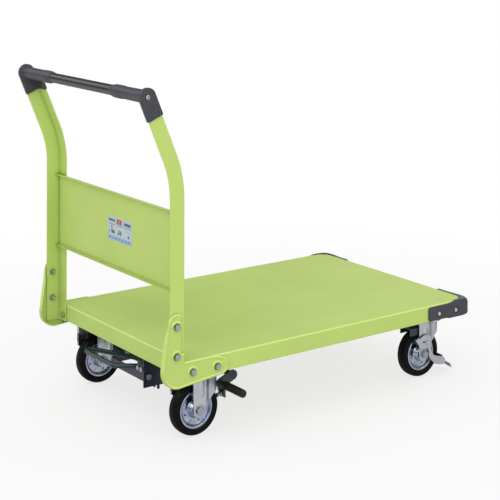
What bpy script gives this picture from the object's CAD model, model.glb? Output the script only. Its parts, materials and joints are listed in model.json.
import bpy, bmesh, math, json
import numpy as np
from mathutils import Vector, Matrix


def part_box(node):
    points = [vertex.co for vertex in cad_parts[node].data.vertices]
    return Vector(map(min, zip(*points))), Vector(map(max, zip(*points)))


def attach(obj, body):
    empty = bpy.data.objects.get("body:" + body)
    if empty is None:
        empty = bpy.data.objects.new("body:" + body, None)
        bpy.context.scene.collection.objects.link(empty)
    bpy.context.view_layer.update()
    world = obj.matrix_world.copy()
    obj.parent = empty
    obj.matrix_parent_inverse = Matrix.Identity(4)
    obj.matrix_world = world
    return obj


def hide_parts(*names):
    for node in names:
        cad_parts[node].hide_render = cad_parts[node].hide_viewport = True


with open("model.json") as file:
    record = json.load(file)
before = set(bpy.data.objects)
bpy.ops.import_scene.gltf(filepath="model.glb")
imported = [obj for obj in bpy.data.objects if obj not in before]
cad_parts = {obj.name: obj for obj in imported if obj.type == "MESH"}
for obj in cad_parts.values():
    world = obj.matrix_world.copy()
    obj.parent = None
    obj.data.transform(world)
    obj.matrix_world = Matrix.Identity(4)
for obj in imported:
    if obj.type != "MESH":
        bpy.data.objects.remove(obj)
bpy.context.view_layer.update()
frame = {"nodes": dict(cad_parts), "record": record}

SC = bpy.context.scene
NODES = frame["nodes"]
BODY = {n: b for b, ns in frame["record"]["behaviour"]["bodies"].items() for n in ns}
SLOT = {s["node"]: s["material_slot"] for s in frame["record"]["subparts"]}
MM = 0.001
# the deck's own middle: every mirrored piece is mirrored about it
DLO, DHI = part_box("deck")
OX, OY = (DLO.x + DHI.x) / 2 / MM, (DLO.y + DHI.y) / 2 / MM


def srgb(r, g, b):
    f = lambda v: v / 255 / 12.92 if v / 255 <= 0.04045 else ((v / 255 + 0.055) / 1.055) ** 2.4
    return (f(r), f(g), f(b), 1.0)


# ------------------------------------------------------------------ materials
class Tree:
    """Small helper around a material's node tree."""

    def __init__(self, name):
        self.mat = bpy.data.materials.new(name)
        self.mat.use_nodes = True
        self.t = self.mat.node_tree
        self.t.nodes.clear()
        self.out = self.t.nodes.new("ShaderNodeOutputMaterial")
        self.bsdf = self.t.nodes.new("ShaderNodeBsdfPrincipled")
        self.t.links.new(self.bsdf.outputs[0], self.out.inputs[0])
        self.co = self.t.nodes.new("ShaderNodeTexCoord").outputs["Object"]

    def link(self, a, b):
        self.t.links.new(a, b)

    def put(self, socket, value):
        if hasattr(value, "is_output") or isinstance(value, bpy.types.NodeSocket):
            self.link(value, socket)
        else:
            socket.default_value = value

    def node(self, kind, **inputs):
        n = self.t.nodes.new(kind)
        for k, v in inputs.items():
            self.put(n.inputs[k.replace("_", " ")], v)
        return n

    def math(self, op, a, b=0.0, clamp=False):
        n = self.t.nodes.new("ShaderNodeMath")
        n.operation = op
        n.use_clamp = clamp
        self.put(n.inputs[0], a)
        self.put(n.inputs[1], b)
        return n.outputs[0]

    def noise(self, scale, detail=3.0, rough=0.5, co=None, dist=0.0):
        n = self.node("ShaderNodeTexNoise", Scale=scale, Detail=detail, Roughness=rough, Distortion=dist)
        self.link(co or self.co, n.inputs["Vector"])
        return n.outputs["Fac"]

    def scaled(self, x, y, z):
        n = self.t.nodes.new("ShaderNodeMapping")
        self.link(self.co, n.inputs["Vector"])
        n.inputs["Scale"].default_value = (x, y, z)
        return n.outputs[0]

    def ramp(self, fac, lo, hi, a=0.0, b=1.0):
        n = self.node("ShaderNodeMapRange", Value=fac)
        n.inputs["From Min"].default_value = lo
        n.inputs["From Max"].default_value = hi
        n.inputs["To Min"].default_value = a
        n.inputs["To Max"].default_value = b
        n.clamp = True
        return n.outputs[0]

    def mix(self, fac, a, b, mode="MIX"):
        n = self.t.nodes.new("ShaderNodeMix")
        n.data_type = "RGBA"
        n.blend_type = mode
        self.put(n.inputs[0], fac)
        self.put(n.inputs[6], a)
        self.put(n.inputs[7], b)
        return n.outputs[2]

    def edge(self, radius, gain=1.0, lo=0.02, hi=0.25):
        """(edge mask 0..1, rounded normal)"""
        bv = self.node("ShaderNodeBevel", Radius=radius)
        bv.samples = 4
        g = self.t.nodes.new("ShaderNodeNewGeometry")
        d = self.t.nodes.new("ShaderNodeVectorMath")
        d.operation = "DOT_PRODUCT"
        self.link(bv.outputs[0], d.inputs[0])
        self.link(g.outputs["Normal"], d.inputs[1])
        m = self.math("SUBTRACT", 1.0, d.outputs["Value"])
        return self.ramp(m, lo, hi, 0.0, gain), bv.outputs[0]

    def crease(self, base, dist=0.010, amount=0.45, lo=0.35, hi=0.85, tone=None):
        """Grime and shade gathered where faces meet."""
        ao = self.node("ShaderNodeAmbientOcclusion", Distance=dist)
        ao.samples = 4
        k = self.ramp(ao.outputs["AO"], lo, hi, amount, 0.0)
        return self.mix(k, base, tone or (0.02, 0.025, 0.03, 1.0))

    def bump(self, height, dist, normal=None, strength=1.0):
        n = self.node("ShaderNodeBump", Height=height)
        n.inputs["Strength"].default_value = strength
        n.inputs["Distance"].default_value = dist
        if normal is not None:
            self.link(normal, n.inputs["Normal"])
        return n.outputs[0]

    def set(self, **kw):
        for k, v in kw.items():
            self.put(self.bsdf.inputs[k.replace("_", " ")], v)


def scale_col(c, k):
    return (c[0] * k, c[1] * k, c[2] * k, 1.0)


def paint(name, col, rough=0.34, light=None, wear=None, wear_amt=0.35, peel=0.00006, peel_scale=420, coat=0.25, dusty=0.25, radius=0.0012, spec=0.5, shade=0.35, shade_tone=None, brow=0.0, brow_lo=0.25, crease=0.012):
    """Sprayed paint on steel: orange peel, slow tone drift, dust in the grain, edges rubbed lighter."""
    m = Tree(name)
    slow = m.noise(5.0, 3.0, 0.55)
    mid = m.noise(38.0, 4.0, 0.6)
    fine = m.noise(900.0, 2.0, 0.5)
    base = m.mix(m.ramp(slow, 0.3, 0.7), scale_col(col, 0.955), scale_col(col, 1.035))
    base = m.mix(m.ramp(mid, 0.52, 0.8, 0.0, 0.10 * dusty * 4), base, scale_col(col, 0.90))
    base = m.mix(m.ramp(fine, 0.62, 0.75, 0.0, 0.06), base, scale_col(col, 0.8))
    mask, nrm = m.edge(radius, 1.0)
    rub = m.math("MULTIPLY", mask, m.ramp(m.noise(60.0, 4.0, 0.65), 0.35, 0.7, 0.25, 1.0))
    base = m.mix(m.math("MULTIPLY", rub, wear_amt), base, light or scale_col(col, 1.25))
    if wear:
        chip = m.math("MULTIPLY", mask, m.ramp(m.noise(240.0, 5.0, 0.7), 0.66, 0.70))
        base = m.mix(m.math("MULTIPLY", chip, 0.8), base, wear)
    r = m.math("ADD", m.ramp(m.noise(22.0, 4.0, 0.6), 0.25, 0.75, rough - 0.05, rough + 0.08), m.ramp(fine, 0.3, 0.7, -0.02, 0.03))
    n1 = m.bump(m.noise(peel_scale, 2.0, 0.45), peel, nrm)
    n2 = m.bump(m.noise(30.0, 2.0, 0.4), 0.0002, n1, 0.35)
    if brow:
        # long pressed edges that face halfway up catch the light
        g = m.t.nodes.new("ShaderNodeNewGeometry")
        nz = m.node("ShaderNodeSeparateXYZ", Vector=g.outputs["Normal"]).outputs["Z"]
        lit = m.math("MULTIPLY", m.ramp(nz, brow_lo, brow_lo * 2), m.ramp(nz, 0.93, 0.985, 1.0, 0.0))
        base = m.mix(m.math("MULTIPLY", lit, brow), base, light)
    base = m.crease(base, crease, shade, 0.25, 0.9, tone=shade_tone or scale_col(col, 0.2))
    m.set(Base_Color=base, Roughness=r, Normal=n2, Coat_Weight=coat, Coat_Roughness=0.18, IOR=1.5)
    m.bsdf.inputs["Specular IOR Level"].default_value = spec
    m.link(n1, m.bsdf.inputs["Coat Normal"])
    return m.mat


def zinc(name, col=(0.74, 0.76, 0.77), rough=0.30, blue=(0.62, 0.70, 0.84), warm=(0.80, 0.77, 0.66), tint=0.35, brushed=None, dark=0.45):
    """Bright zinc plate: crystalline mottling, faint blue and straw passivation, scuffs and dull edges."""
    m = Tree(name)
    slow = m.noise(26.0, 4.0, 0.6, dist=0.6)
    slow2 = m.noise(15.0, 3.0, 0.6, dist=1.1)
    cells = m.node("ShaderNodeTexVoronoi", Scale=520.0)
    m.link(m.co, cells.inputs["Vector"])
    c = (*col, 1.0)
    base = m.mix(m.ramp(slow, 0.42, 0.72, 0.0, tint), c, (*blue, 1.0))
    base = m.mix(m.ramp(slow2, 0.55, 0.8, 0.0, tint * 0.8), base, (*warm, 1.0))
    base = m.mix(m.ramp(cells.outputs["Color"], 0.0, 1.0, 0.0, 0.10), base, scale_col(c, 0.7))
    mask, nrm = m.edge(0.0008, 1.0)
    base = m.mix(m.math("MULTIPLY", mask, dark), base, scale_col(c, 0.55))
    spots = m.ramp(m.noise(160.0, 4.0, 0.7), 0.62, 0.72)
    base = m.mix(m.math("MULTIPLY", spots, 0.25), base, scale_col(c, 0.55))
    r = m.ramp(m.noise(70.0, 5.0, 0.65), 0.25, 0.75, rough - 0.08, rough + 0.12)
    r = m.math("ADD", r, m.math("MULTIPLY", spots, 0.12))
    n1 = m.bump(m.noise(700.0, 3.0, 0.5), 0.00002, nrm)
    n2 = m.bump(m.noise(55.0, 2.0, 0.4), 0.0001, n1, 0.4)
    base = m.crease(base, 0.012, 0.75, 0.30, 0.85)
    m.set(Base_Color=base, Roughness=r, Metallic=1.0, Normal=n2)
    return m.mat


def moulded(name, col, rough=0.46, grain=1400.0, depth=0.00006, light=1.7, radius=0.0012, spec=0.5):
    """Moulded plastic or rubber: fine spark grain, flow tone, polished and lighter edges."""
    m = Tree(name)
    slow = m.noise(14.0, 3.0, 0.55)
    g = m.node("ShaderNodeTexVoronoi", Scale=grain)
    m.link(m.co, g.inputs["Vector"])
    base = m.mix(m.ramp(slow, 0.3, 0.7), scale_col(col, 0.88), scale_col(col, 1.12))
    mask, nrm = m.edge(radius, 1.0)
    base = m.mix(m.math("MULTIPLY", mask, 0.55), base, scale_col(col, light))
    scuff = m.ramp(m.noise(90.0, 6.0, 0.75, co=m.scaled(1.0, 1.0, 2.5)), 0.60, 0.72)
    base = m.mix(m.math("MULTIPLY", scuff, 0.22), base, scale_col(col, light * 1.1))
    r = m.ramp(m.noise(40.0, 4.0, 0.6), 0.25, 0.75, rough - 0.06, rough + 0.08)
    r = m.math("SUBTRACT", r, m.math("MULTIPLY", mask, 0.08))
    n1 = m.bump(g.outputs["Distance"], depth, nrm)
    m.set(Base_Color=base, Roughness=r, Normal=n1)
    m.bsdf.inputs["Specular IOR Level"].default_value = spec
    return m.mat


def tyre_mat():
    col = srgb(11, 11, 13)
    m = Tree("tyre_rubber")
    slow = m.noise(20.0, 4.0, 0.6)
    base = m.mix(m.ramp(slow, 0.3, 0.75), scale_col(col, 0.8), scale_col(col, 1.25))
    dust = m.ramp(m.noise(130.0, 6.0, 0.7), 0.52, 0.75, 0.0, 0.22)
    base = m.mix(dust, base, srgb(40, 40, 42))
    mask, nrm = m.edge(0.0006, 1.0)
    base = m.mix(m.math("MULTIPLY", mask, 0.4), base, srgb(46, 46, 49))
    r = m.ramp(m.noise(48.0, 4.0, 0.6), 0.3, 0.7, 0.36, 0.55)
    n1 = m.bump(m.noise(1500.0, 3.0, 0.6), 0.00007, nrm)
    n2 = m.bump(m.noise(260.0, 3.0, 0.5), 0.00012, n1, 0.5)
    m.set(Base_Color=base, Roughness=r, Normal=n2)
    m.bsdf.inputs["Specular IOR Level"].default_value = 0.16
    return m.mat


def hub_mat():
    """Pressed disc, bright zinc: spun lines round the axle are made from the radius in the wheel's own plane."""
    m = Tree("hub_zinc")
    slow = m.noise(30.0, 4.0, 0.6, dist=0.8)
    base = m.mix(m.ramp(slow, 0.34, 0.66, 0.0, 0.9), (0.70, 0.72, 0.80, 1), (0.36, 0.43, 0.68, 1))
    base = m.mix(m.ramp(m.noise(19.0, 3.0, 0.6, dist=1.2), 0.56, 0.75, 0.0, 0.4), base, (0.78, 0.70, 0.62, 1))
    mask, nrm = m.edge(0.0006, 1.0)
    base = m.mix(m.math("MULTIPLY", mask, 0.4), base, (0.4, 0.42, 0.47, 1))
    r = m.ramp(m.noise(85.0, 5.0, 0.65), 0.25, 0.75, 0.10, 0.22)
    n1 = m.bump(m.noise(420.0, 3.0, 0.5), 0.00004, nrm)
    m.set(Base_Color=base, Roughness=r, Metallic=1.0, Normal=n1)
    return m.mat


def grip_mat():
    """Dark glossy coated tube with a faint olive cast and long draw lines."""
    m = Tree("handle_tube_gloss")
    col = srgb(14, 22, 17)
    draw = m.noise(240.0, 3.0, 0.55, co=m.scaled(1.0, 0.02, 1.0))
    slow = m.noise(9.0, 3.0, 0.5)
    base = m.mix(m.ramp(slow, 0.3, 0.7), scale_col(col, 0.75), srgb(22, 36, 26))
    base = m.mix(m.ramp(draw, 0.5, 0.75, 0.0, 0.3), base, srgb(36, 44, 32))
    scr = m.ramp(m.noise(420.0, 6.0, 0.75, co=m.scaled(1.0, 0.3, 1.0)), 0.64, 0.70)
    base = m.mix(m.math("MULTIPLY", scr, 0.2), base, srgb(70, 74, 66))
    r = m.math("ADD", m.ramp(draw, 0.3, 0.7, 0.08, 0.13), m.math("MULTIPLY", scr, 0.12))
    n1 = m.bump(draw, 0.00003)
    n2 = m.bump(m.noise(120.0, 2.0, 0.5), 0.00008, n1, 0.5)
    m.set(Base_Color=base, Roughness=r, Normal=n2, Coat_Weight=0.35, Coat_Roughness=0.06)
    return m.mat


def label_mat():
    """Printed film: pale blue ground, generic colour blocks and three little pictures; no lettering."""
    lo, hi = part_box("panel_label")
    m = Tree("label_film")
    sep = m.node("ShaderNodeSeparateXYZ", Vector=m.co)
    # seen from behind the trolley, left to right is +Y to -Y
    u = m.math("DIVIDE", m.math("SUBTRACT", hi.y, sep.outputs["Y"]), hi.y - lo.y)
    v = m.math("DIVIDE", m.math("SUBTRACT", sep.outputs["Z"], lo.z), hi.z - lo.z)

    def box(u0, u1, v0, v1, soft=0.006):
        a = m.math("MULTIPLY", m.ramp(u, u0 - soft, u0 + soft), m.ramp(u, u1 - soft, u1 + soft, 1.0, 0.0))
        b = m.math("MULTIPLY", m.ramp(v, v0 - soft, v0 + soft), m.ramp(v, v1 - soft, v1 + soft, 1.0, 0.0))
        return m.math("MULTIPLY", a, b)

    def disc(u0, v0, r):
        du = m.math("MULTIPLY", m.math("SUBTRACT", u, u0), (hi.y - lo.y) / (hi.z - lo.z))
        dv = m.math("SUBTRACT", v, v0)
        d = m.math("SQRT", m.math("ADD", m.math("MULTIPLY", du, du), m.math("MULTIPLY", dv, dv)))
        return m.ramp(d, r - 0.012, r + 0.012, 1.0, 0.0)

    col = m.mix(m.ramp(v, 0.0, 1.0), srgb(160, 190, 222), srgb(190, 220, 226))
    col = m.mix(box(0.02, 0.98, 0.22, 0.70), col, srgb(206, 220, 230))
    col = m.mix(box(0.04, 0.30, 0.80, 0.90), col, srgb(70, 112, 128))
    col = m.mix(box(0.37, 0.58, 0.74, 0.95), col, srgb(186, 72, 62))
    col = m.mix(disc(0.47, 0.85, 0.06), col, srgb(232, 140, 110))
    col = m.mix(box(0.68, 0.95, 0.77, 0.89), col, srgb(66, 104, 112))
    for u0 in (0.05, 0.37, 0.69):
        col = m.mix(box(u0, u0 + 0.26, 0.66, 0.69), col, srgb(96, 140, 152))
    # a post with a base, a box on a base and a wheel, drawn as plain shapes
    col = m.mix(box(0.15, 0.19, 0.34, 0.64), col, srgb(86, 112, 96))
    col = m.mix(box(0.15, 0.29, 0.30, 0.44), col, srgb(88, 104, 96))
    col = m.mix(disc(0.07, 0.36, 0.05), col, srgb(92, 108, 112))
    col = m.mix(box(0.44, 0.56, 0.30, 0.50), col, srgb(150, 152, 148))
    col = m.mix(box(0.52, 0.57, 0.30, 0.46), col, srgb(88, 104, 112))
    col = m.mix(disc(0.42, 0.33, 0.05), col, srgb(92, 116, 124))
    col = m.mix(disc(0.86, 0.34, 0.07), col, srgb(96, 96, 118))
    col = m.mix(box(0.74, 0.92, 0.50, 0.53), col, srgb(168, 176, 184))
    for i in range(7):
        col = m.mix(box(0.05 + i * 0.13, 0.13 + i * 0.13, 0.09, 0.14), col, srgb(104, 134, 190) if i % 2 else srgb(84, 128, 140))
    rim = m.math("SUBTRACT", 1.0, box(0.012, 0.988, 0.02, 0.98))
    col = m.mix(m.math("MULTIPLY", rim, 0.6), col, srgb(226, 238, 232))
    col = m.mix(m.ramp(m.noise(300.0, 4.0, 0.6), 0.5, 0.8, 0.0, 0.15), col, srgb(150, 160, 165))
    col = m.mix(0.24, col, (0.02, 0.03, 0.03, 1.0))
    n = m.bump(m.noise(90.0, 2.0, 0.5), 0.00008)
    m.set(Base_Color=col, Roughness=m.ramp(m.noise(60.0, 3.0, 0.6), 0.3, 0.7, 0.22, 0.36), Normal=n, Coat_Weight=0.3)
    return m.mat


LIME = srgb(185, 208, 110)
MATS = {
    "lime_paint": paint("lime_paint", LIME, rough=0.44, light=srgb(222, 238, 140), wear_amt=0.62, coat=0.04, radius=0.0019, spec=0.28, shade=0.70, shade_tone=srgb(96, 122, 44), brow=0.70, crease=0.008),
    "lime_pressed": paint("lime_paint_pressed", LIME, rough=0.42, light=srgb(224, 240, 140), wear_amt=0.62, coat=0.04, radius=0.0019, spec=0.28, shade=0.85, shade_tone=srgb(84, 108, 40), brow=0.75, brow_lo=0.09, crease=0.006),
    "fork_zinc": zinc("fork_zinc", col=(0.80, 0.82, 0.86), rough=0.30, tint=0.6),
    "bright_head": zinc("bright_head", col=(0.93, 0.93, 0.94), rough=0.34, tint=0.1, dark=0.3),
    "fastener_zinc": zinc("fastener_zinc", col=(0.54, 0.56, 0.64), rough=0.26, tint=0.35, dark=0.75),
    "bush_steel": zinc("bush_steel", col=(0.55, 0.55, 0.56), rough=0.30, tint=0.15),
    "hub_zinc": hub_mat(),
    "tyre_rubber": tyre_mat(),
    "charcoal_plastic": moulded("charcoal_plastic", srgb(64, 64, 73), rough=0.40, grain=620.0, depth=0.00013, light=2.1),
    "black_plastic": moulded("black_plastic", srgb(34, 34, 36), rough=0.45),
    "black_rubber": moulded("black_rubber", srgb(20, 20, 22), rough=0.40, grain=1000.0, light=2.2),
    "handle_tube": grip_mat(),
    "label_film": label_mat(),
    "teal_paint": paint("teal_paint", srgb(22, 52, 54), rough=0.28, light=srgb(60, 104, 104), wear=srgb(120, 124, 126), wear_amt=0.6, coat=0.5),
    "navy_paint": paint("navy_paint", srgb(30, 32, 56), rough=0.30, light=srgb(62, 66, 96), wear=srgb(120, 122, 128), wear_amt=0.6, coat=0.4),
}


# ------------------------------------------------------------------ mesh tools
def finish_mesh(ob, sharp=38.0, weighted=True):
    me = ob.data
    bm = bmesh.new()
    bm.from_mesh(me)
    for f in bm.faces:
        f.smooth = True
    for e in bm.edges:
        e.smooth = not (len(e.link_faces) == 2 and e.calc_face_angle(0.0) > math.radians(sharp))
    bm.to_mesh(me)
    bm.free()
    if weighted:
        w = ob.modifiers.new("weighted", "WEIGHTED_NORMAL")
        w.keep_sharp = True
        w.weight = 80
    return ob


def new_object(name, me, node, mat=None, body=None):
    ob = bpy.data.objects.new(name, me)
    SC.collection.objects.link(ob)
    me.materials.clear()
    me.materials.append(MATS[mat or SLOT[node]])
    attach(ob, body or BODY[node])
    return ob


def clean_bmesh(node, angle=0.5):
    bm = bmesh.new()
    bm.from_mesh(NODES[node].data)
    bmesh.ops.remove_doubles(bm, verts=bm.verts, dist=3e-6)
    bmesh.ops.dissolve_degenerate(bm, edges=bm.edges, dist=2e-6)
    bmesh.ops.dissolve_limit(bm, angle_limit=math.radians(angle), verts=bm.verts, edges=bm.edges, use_dissolve_boundaries=False)
    for k in list(bm.loops.layers.uv.keys()):
        bm.loops.layers.uv.remove(bm.loops.layers.uv[k])
    return bm


def refined(node, bevel=0.5, seg=2, ang=30.0, sharp=38.0, name=None):
    """The CAD node's own shape with its edges broken by a small radius."""
    bm = clean_bmesh(node)
    if bevel:
        edges = [e for e in bm.edges if len(e.link_faces) == 2 and e.calc_face_angle(0.0) > math.radians(ang)]
        bmesh.ops.bevel(bm, geom=edges, offset=bevel * MM, offset_type="OFFSET", segments=seg, profile=0.5, affect="EDGES", clamp_overlap=True, miter_outer="ARC")
    me = bpy.data.meshes.new(node + "_fin")
    bm.to_mesh(me)
    bm.free()
    ob = new_object(name or node + "_fin", me, node)
    finish_mesh(ob, sharp)
    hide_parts(node)
    return ob


def softened(node, voxel=1.2, passes=4, name=None, displace=None):
    """The CAD node's own solid with moulded or pressed edges: fine voxel skin, relaxed."""
    bm = clean_bmesh(node)
    bmesh.ops.triangulate(bm, faces=bm.faces)
    me = bpy.data.meshes.new(node + "_soft")
    bm.to_mesh(me)
    bm.free()
    ob = bpy.data.objects.new(node + "_tmp", me)
    SC.collection.objects.link(ob)
    r = ob.modifiers.new("r", "REMESH")
    r.mode = "VOXEL"
    r.voxel_size = voxel * MM
    r.adaptivity = 0.0
    s = ob.modifiers.new("s", "SMOOTH")
    s.factor = 0.5
    s.iterations = passes
    dg = bpy.context.evaluated_depsgraph_get()
    me2 = bpy.data.meshes.new_from_object(ob.evaluated_get(dg))
    bpy.data.objects.remove(ob)
    # the skin may not grow past its solid
    lo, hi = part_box(node)
    co = np.zeros(len(me2.vertices) * 3)
    me2.vertices.foreach_get("co", co)
    co = co.reshape(-1, 3)
    if displace is not None:
        co = displace(co, me2)
    co = np.clip(co, np.array(lo), np.array(hi))
    me2.vertices.foreach_set("co", co.ravel())
    me2.update()
    out = new_object(name or node + "_fin", me2, node)
    for p in me2.polygons:
        p.use_smooth = True
    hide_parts(node)
    return out


def revolve(profile, centre, axis="Y", seg=128):
    """Closed profile of (radius, offset) in metres, turned about an axis through centre."""
    bm = bmesh.new()
    rings = []
    for i in range(seg):
        a = 2 * math.pi * i / seg
        ring = []
        for r, o in profile:
            x, z = r * math.cos(a), r * math.sin(a)
            v = {"Y": (x, o, z), "Z": (x, z, o), "X": (o, x, z)}[axis]
            ring.append(bm.verts.new(Vector(v) + Vector(centre)))
        rings.append(ring)
    n = len(profile)
    for i in range(seg):
        a, b = rings[i], rings[(i + 1) % seg]
        for k in range(n):
            bm.faces.new((a[k], a[(k + 1) % n], b[(k + 1) % n], b[k]))
    bmesh.ops.recalc_face_normals(bm, faces=bm.faces)
    return bm


def to_object(bm, name, node, mat=None, sharp=38.0, replace=True, weighted=True):
    me = bpy.data.meshes.new(name)
    bm.to_mesh(me)
    bm.free()
    ob = new_object(name, me, node, mat)
    finish_mesh(ob, sharp, weighted)
    if replace:
        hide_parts(node)
    return ob


def arc(cx, cy, r, a0, a1, n=8):
    return [(cx + r * math.cos(math.radians(a0 + (a1 - a0) * i / n)), cy + r * math.sin(math.radians(a0 + (a1 - a0) * i / n))) for i in range(n + 1)]


# ------------------------------------------------------------------ tyres
def tyre(node):
    lo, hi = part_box(node)
    c = (lo + hi) / 2
    R = (hi.z - lo.z) / 2
    w = (hi.y - lo.y) / 2
    bm0 = NODES[node].data
    r_in = min(math.hypot(v.co.x - c.x, v.co.z - c.z) for v in bm0.vertices)
    half = []
    # tread from the middle outwards: a hair of flash on the parting line, two shallow lines, soft shoulder
    half += [(R, 0.0), (R, 0.0003), (R - 0.00022, 0.0007)]
    half += [(R - 0.0003, 0.0055), (R - 0.0010, 0.0059), (R - 0.0010, 0.0066), (R - 0.0004, 0.0070)]
    s = 0.0060
    half += [(R - s - 0.0006 + s * math.cos(math.radians(a)), w - s + s * math.sin(math.radians(a))) for a in (8, 20, 32, 44, 56, 68, 80, 90)]
    half += [(R - 0.0085, w), (R - 0.0089, w - 0.0005), (R - 0.0096, w - 0.0005), (R - 0.0100, w)]
    half += [(R - 0.0124, w - 0.0001), (R - 0.0132, w - 0.0009), (R - 0.0146, w - 0.0012), (R - 0.0156, w - 0.0021)]
    half += [(r_in, w - 0.0024)]
    prof = half + [(r, -o) for r, o in reversed(half[1:])]
    bm = revolve(prof, c, "Y", 144)
    return to_object(bm, node + "_fin", node, sharp=40, weighted=False)


for n in [k for k in NODES if k.endswith("_tyre")]:
    tyre(n)


# ------------------------------------------------------------------ fasteners
def islands(node):
    """Loose solids of a node as lists of points."""
    bm = bmesh.new()
    bm.from_mesh(NODES[node].data)
    bmesh.ops.remove_doubles(bm, verts=bm.verts, dist=3e-6)
    left, out = set(bm.verts), []
    while left:
        stack, got = [left.pop()], []
        while stack:
            v = stack.pop()
            got.append(v.co.copy())
            for e in v.link_edges:
                o = e.other_vert(v)
                if o in left:
                    left.discard(o)
                    stack.append(o)
        out.append(got)
    bm.free()
    return out


def axis_frame(pts, axis=None):
    """(origin at the low end, unit axis, length) with the axis along the box's longest side unless given."""
    a = np.array([tuple(p) for p in pts])
    lo, hi = a.min(0), a.max(0)
    k = int(np.argmax(hi - lo)) if axis is None else axis
    c = (lo + hi) / 2
    return a, lo, hi, k, c


def place(k, sign, origin):
    """Matrix that carries local +Z onto sign * world axis k, at origin."""
    z = Vector((0, 0, 0)); z[k] = sign
    x = Vector((0, 0, 1)) if k != 2 else Vector((1, 0, 0))
    y = z.cross(x)
    m = Matrix((x, y, z)).transposed().to_4x4()
    m.translation = origin
    return m


def hex_head(bm, M, af, h, phase=0.0, chamfer=True, both=False, hole=0.0):
    """Hexagon from z=0 to z=h with its corners turned off by a 30 degree cone."""
    n = 36
    rc = af / 2 / math.cos(math.radians(30))
    def hexr(a):
        t = (a % math.radians(60)) - math.radians(30)
        return af / 2 / math.cos(t)
    levels = []
    def ring(z, lim, inset=0.0):
        return [bm.verts.new(M @ Vector((min(hexr(a), lim) * math.cos(a + phase) , min(hexr(a), lim) * math.sin(a + phase), z))) for a in [2 * math.pi * i / n for i in range(n)]]
    rf = af / 2 * 0.97
    prof = []
    if both:
        prof += [(0.0, rf), (0.25 * (rc - rf), (rf + rc) / 2)]
        prof += [(0.5 * (rc - rf) + 0.0001, rc)]
    else:
        prof += [(0.0, rc)]
    prof += [(h - 0.55 * (rc - rf), rc), (h - 0.27 * (rc - rf), (rf + rc) / 2), (h, rf)]
    rings = [ring(z, lim) for z, lim in prof]
    for a, b in zip(rings, rings[1:]):
        for i in range(n):
            bm.faces.new((a[i], a[(i + 1) % n], b[(i + 1) % n], b[i]))
    if hole:
        for rg, flip in ((rings[0], True), (rings[-1], False)):
            z = 0.0 if flip else h
            inner = [bm.verts.new(M @ Vector((hole * math.cos(2 * math.pi * i / n + phase), hole * math.sin(2 * math.pi * i / n + phase), z + (0.0004 if flip else -0.0004)))) for i in range(n)]
            outer = [bm.verts.new(M @ Vector(((hole + 0.0005) * math.cos(2 * math.pi * i / n + phase), (hole + 0.0005) * math.sin(2 * math.pi * i / n + phase), z))) for i in range(n)]
            for i in range(n):
                bm.faces.new((rg[i], rg[(i + 1) % n], outer[(i + 1) % n], outer[i]))
                bm.faces.new((outer[i], outer[(i + 1) % n], inner[(i + 1) % n], inner[i]))
            if flip:
                low = inner
            else:
                for i in range(n):
                    bm.faces.new((inner[i], inner[(i + 1) % n], low[(i + 1) % n], low[i]))
    else:
        # shallow dish in the top, as a forged head has
        z = h - 0.0003
        dish = [bm.verts.new(M @ Vector((rf * 0.72 * math.cos(2 * math.pi * i / n + phase), rf * 0.72 * math.sin(2 * math.pi * i / n + phase), h))) for i in range(n)]
        dish2 = [bm.verts.new(M @ Vector((rf * 0.6 * math.cos(2 * math.pi * i / n + phase), rf * 0.6 * math.sin(2 * math.pi * i / n + phase), z))) for i in range(n)]
        for i in range(n):
            bm.faces.new((rings[-1][i], rings[-1][(i + 1) % n], dish[(i + 1) % n], dish[i]))
            bm.faces.new((dish[i], dish[(i + 1) % n], dish2[(i + 1) % n], dish2[i]))
        bm.faces.new(dish2)
        bm.faces.new(list(reversed(rings[0])))


def thread(bm, M, r, z0, z1, pitch, n=20, plain_to=None):
    """Screw from z0 down to z1 (z1 < z0): a real helical ridge, plain above plain_to."""
    steps = max(2, int((z0 - z1) / pitch * 6))
    plain_to = z0 if plain_to is None else plain_to
    rings = []
    for j in range(steps + 1):
        z = z0 + (z1 - z0) * j / steps
        ring = []
        for i in range(n):
            a = 2 * math.pi * i / n
            f = abs(((z / pitch - a / (2 * math.pi)) % 1.0) * 2 - 1)
            rr = r if z > plain_to else r - 0.00055 * pitch / 0.00125 * f
            if z - z1 < 0.0008:
                rr = min(rr, r - 0.0009 + (z - z1))
            ring.append(bm.verts.new(M @ Vector((rr * math.cos(a), rr * math.sin(a), z))))
        rings.append(ring)
    for a, b in zip(rings, rings[1:]):
        for i in range(n):
            bm.faces.new((a[i], b[i], b[(i + 1) % n], a[(i + 1) % n]))
    bm.faces.new(list(reversed(rings[-1])) if False else rings[-1][::-1])
    bm.faces.new(rings[0])


def bolts(node, pitch=0.00125):
    bm = bmesh.new()
    for pts in islands(node):
        a, lo, hi, k, c = axis_frame(pts)
        o = [i for i in range(3) if i != k]
        r = np.hypot(a[:, o[0]] - c[o[0]], a[:, o[1]] - c[o[1]])
        top_side = a[r > 0.9 * r.max(), k].mean() > c[k]
        sign = 1 if top_side else -1
        head = a[r > 0.9 * r.max(), k]
        h0, h1 = head.min(), head.max()
        af = 2 * r.max() * math.cos(math.radians(30))
        seat = h0 if sign > 0 else h1
        tip = lo[k] if sign > 0 else hi[k]
        rs = np.sort(r[np.abs(a[:, k] - tip) < 1e-5])[-1]
        origin = Vector(c); origin[k] = seat
        M = place(k, sign, origin)
        hex_head(bm, M, af, h1 - h0, phase=math.radians(12 * (len(bm.verts) % 5)))
        thread(bm, M, rs, 0.0, -abs(tip - seat), pitch, plain_to=-abs(tip - seat) * 0.35)
    bmesh.ops.recalc_face_normals(bm, faces=bm.faces)
    return to_object(bm, node + "_fin", node, sharp=26)


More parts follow.
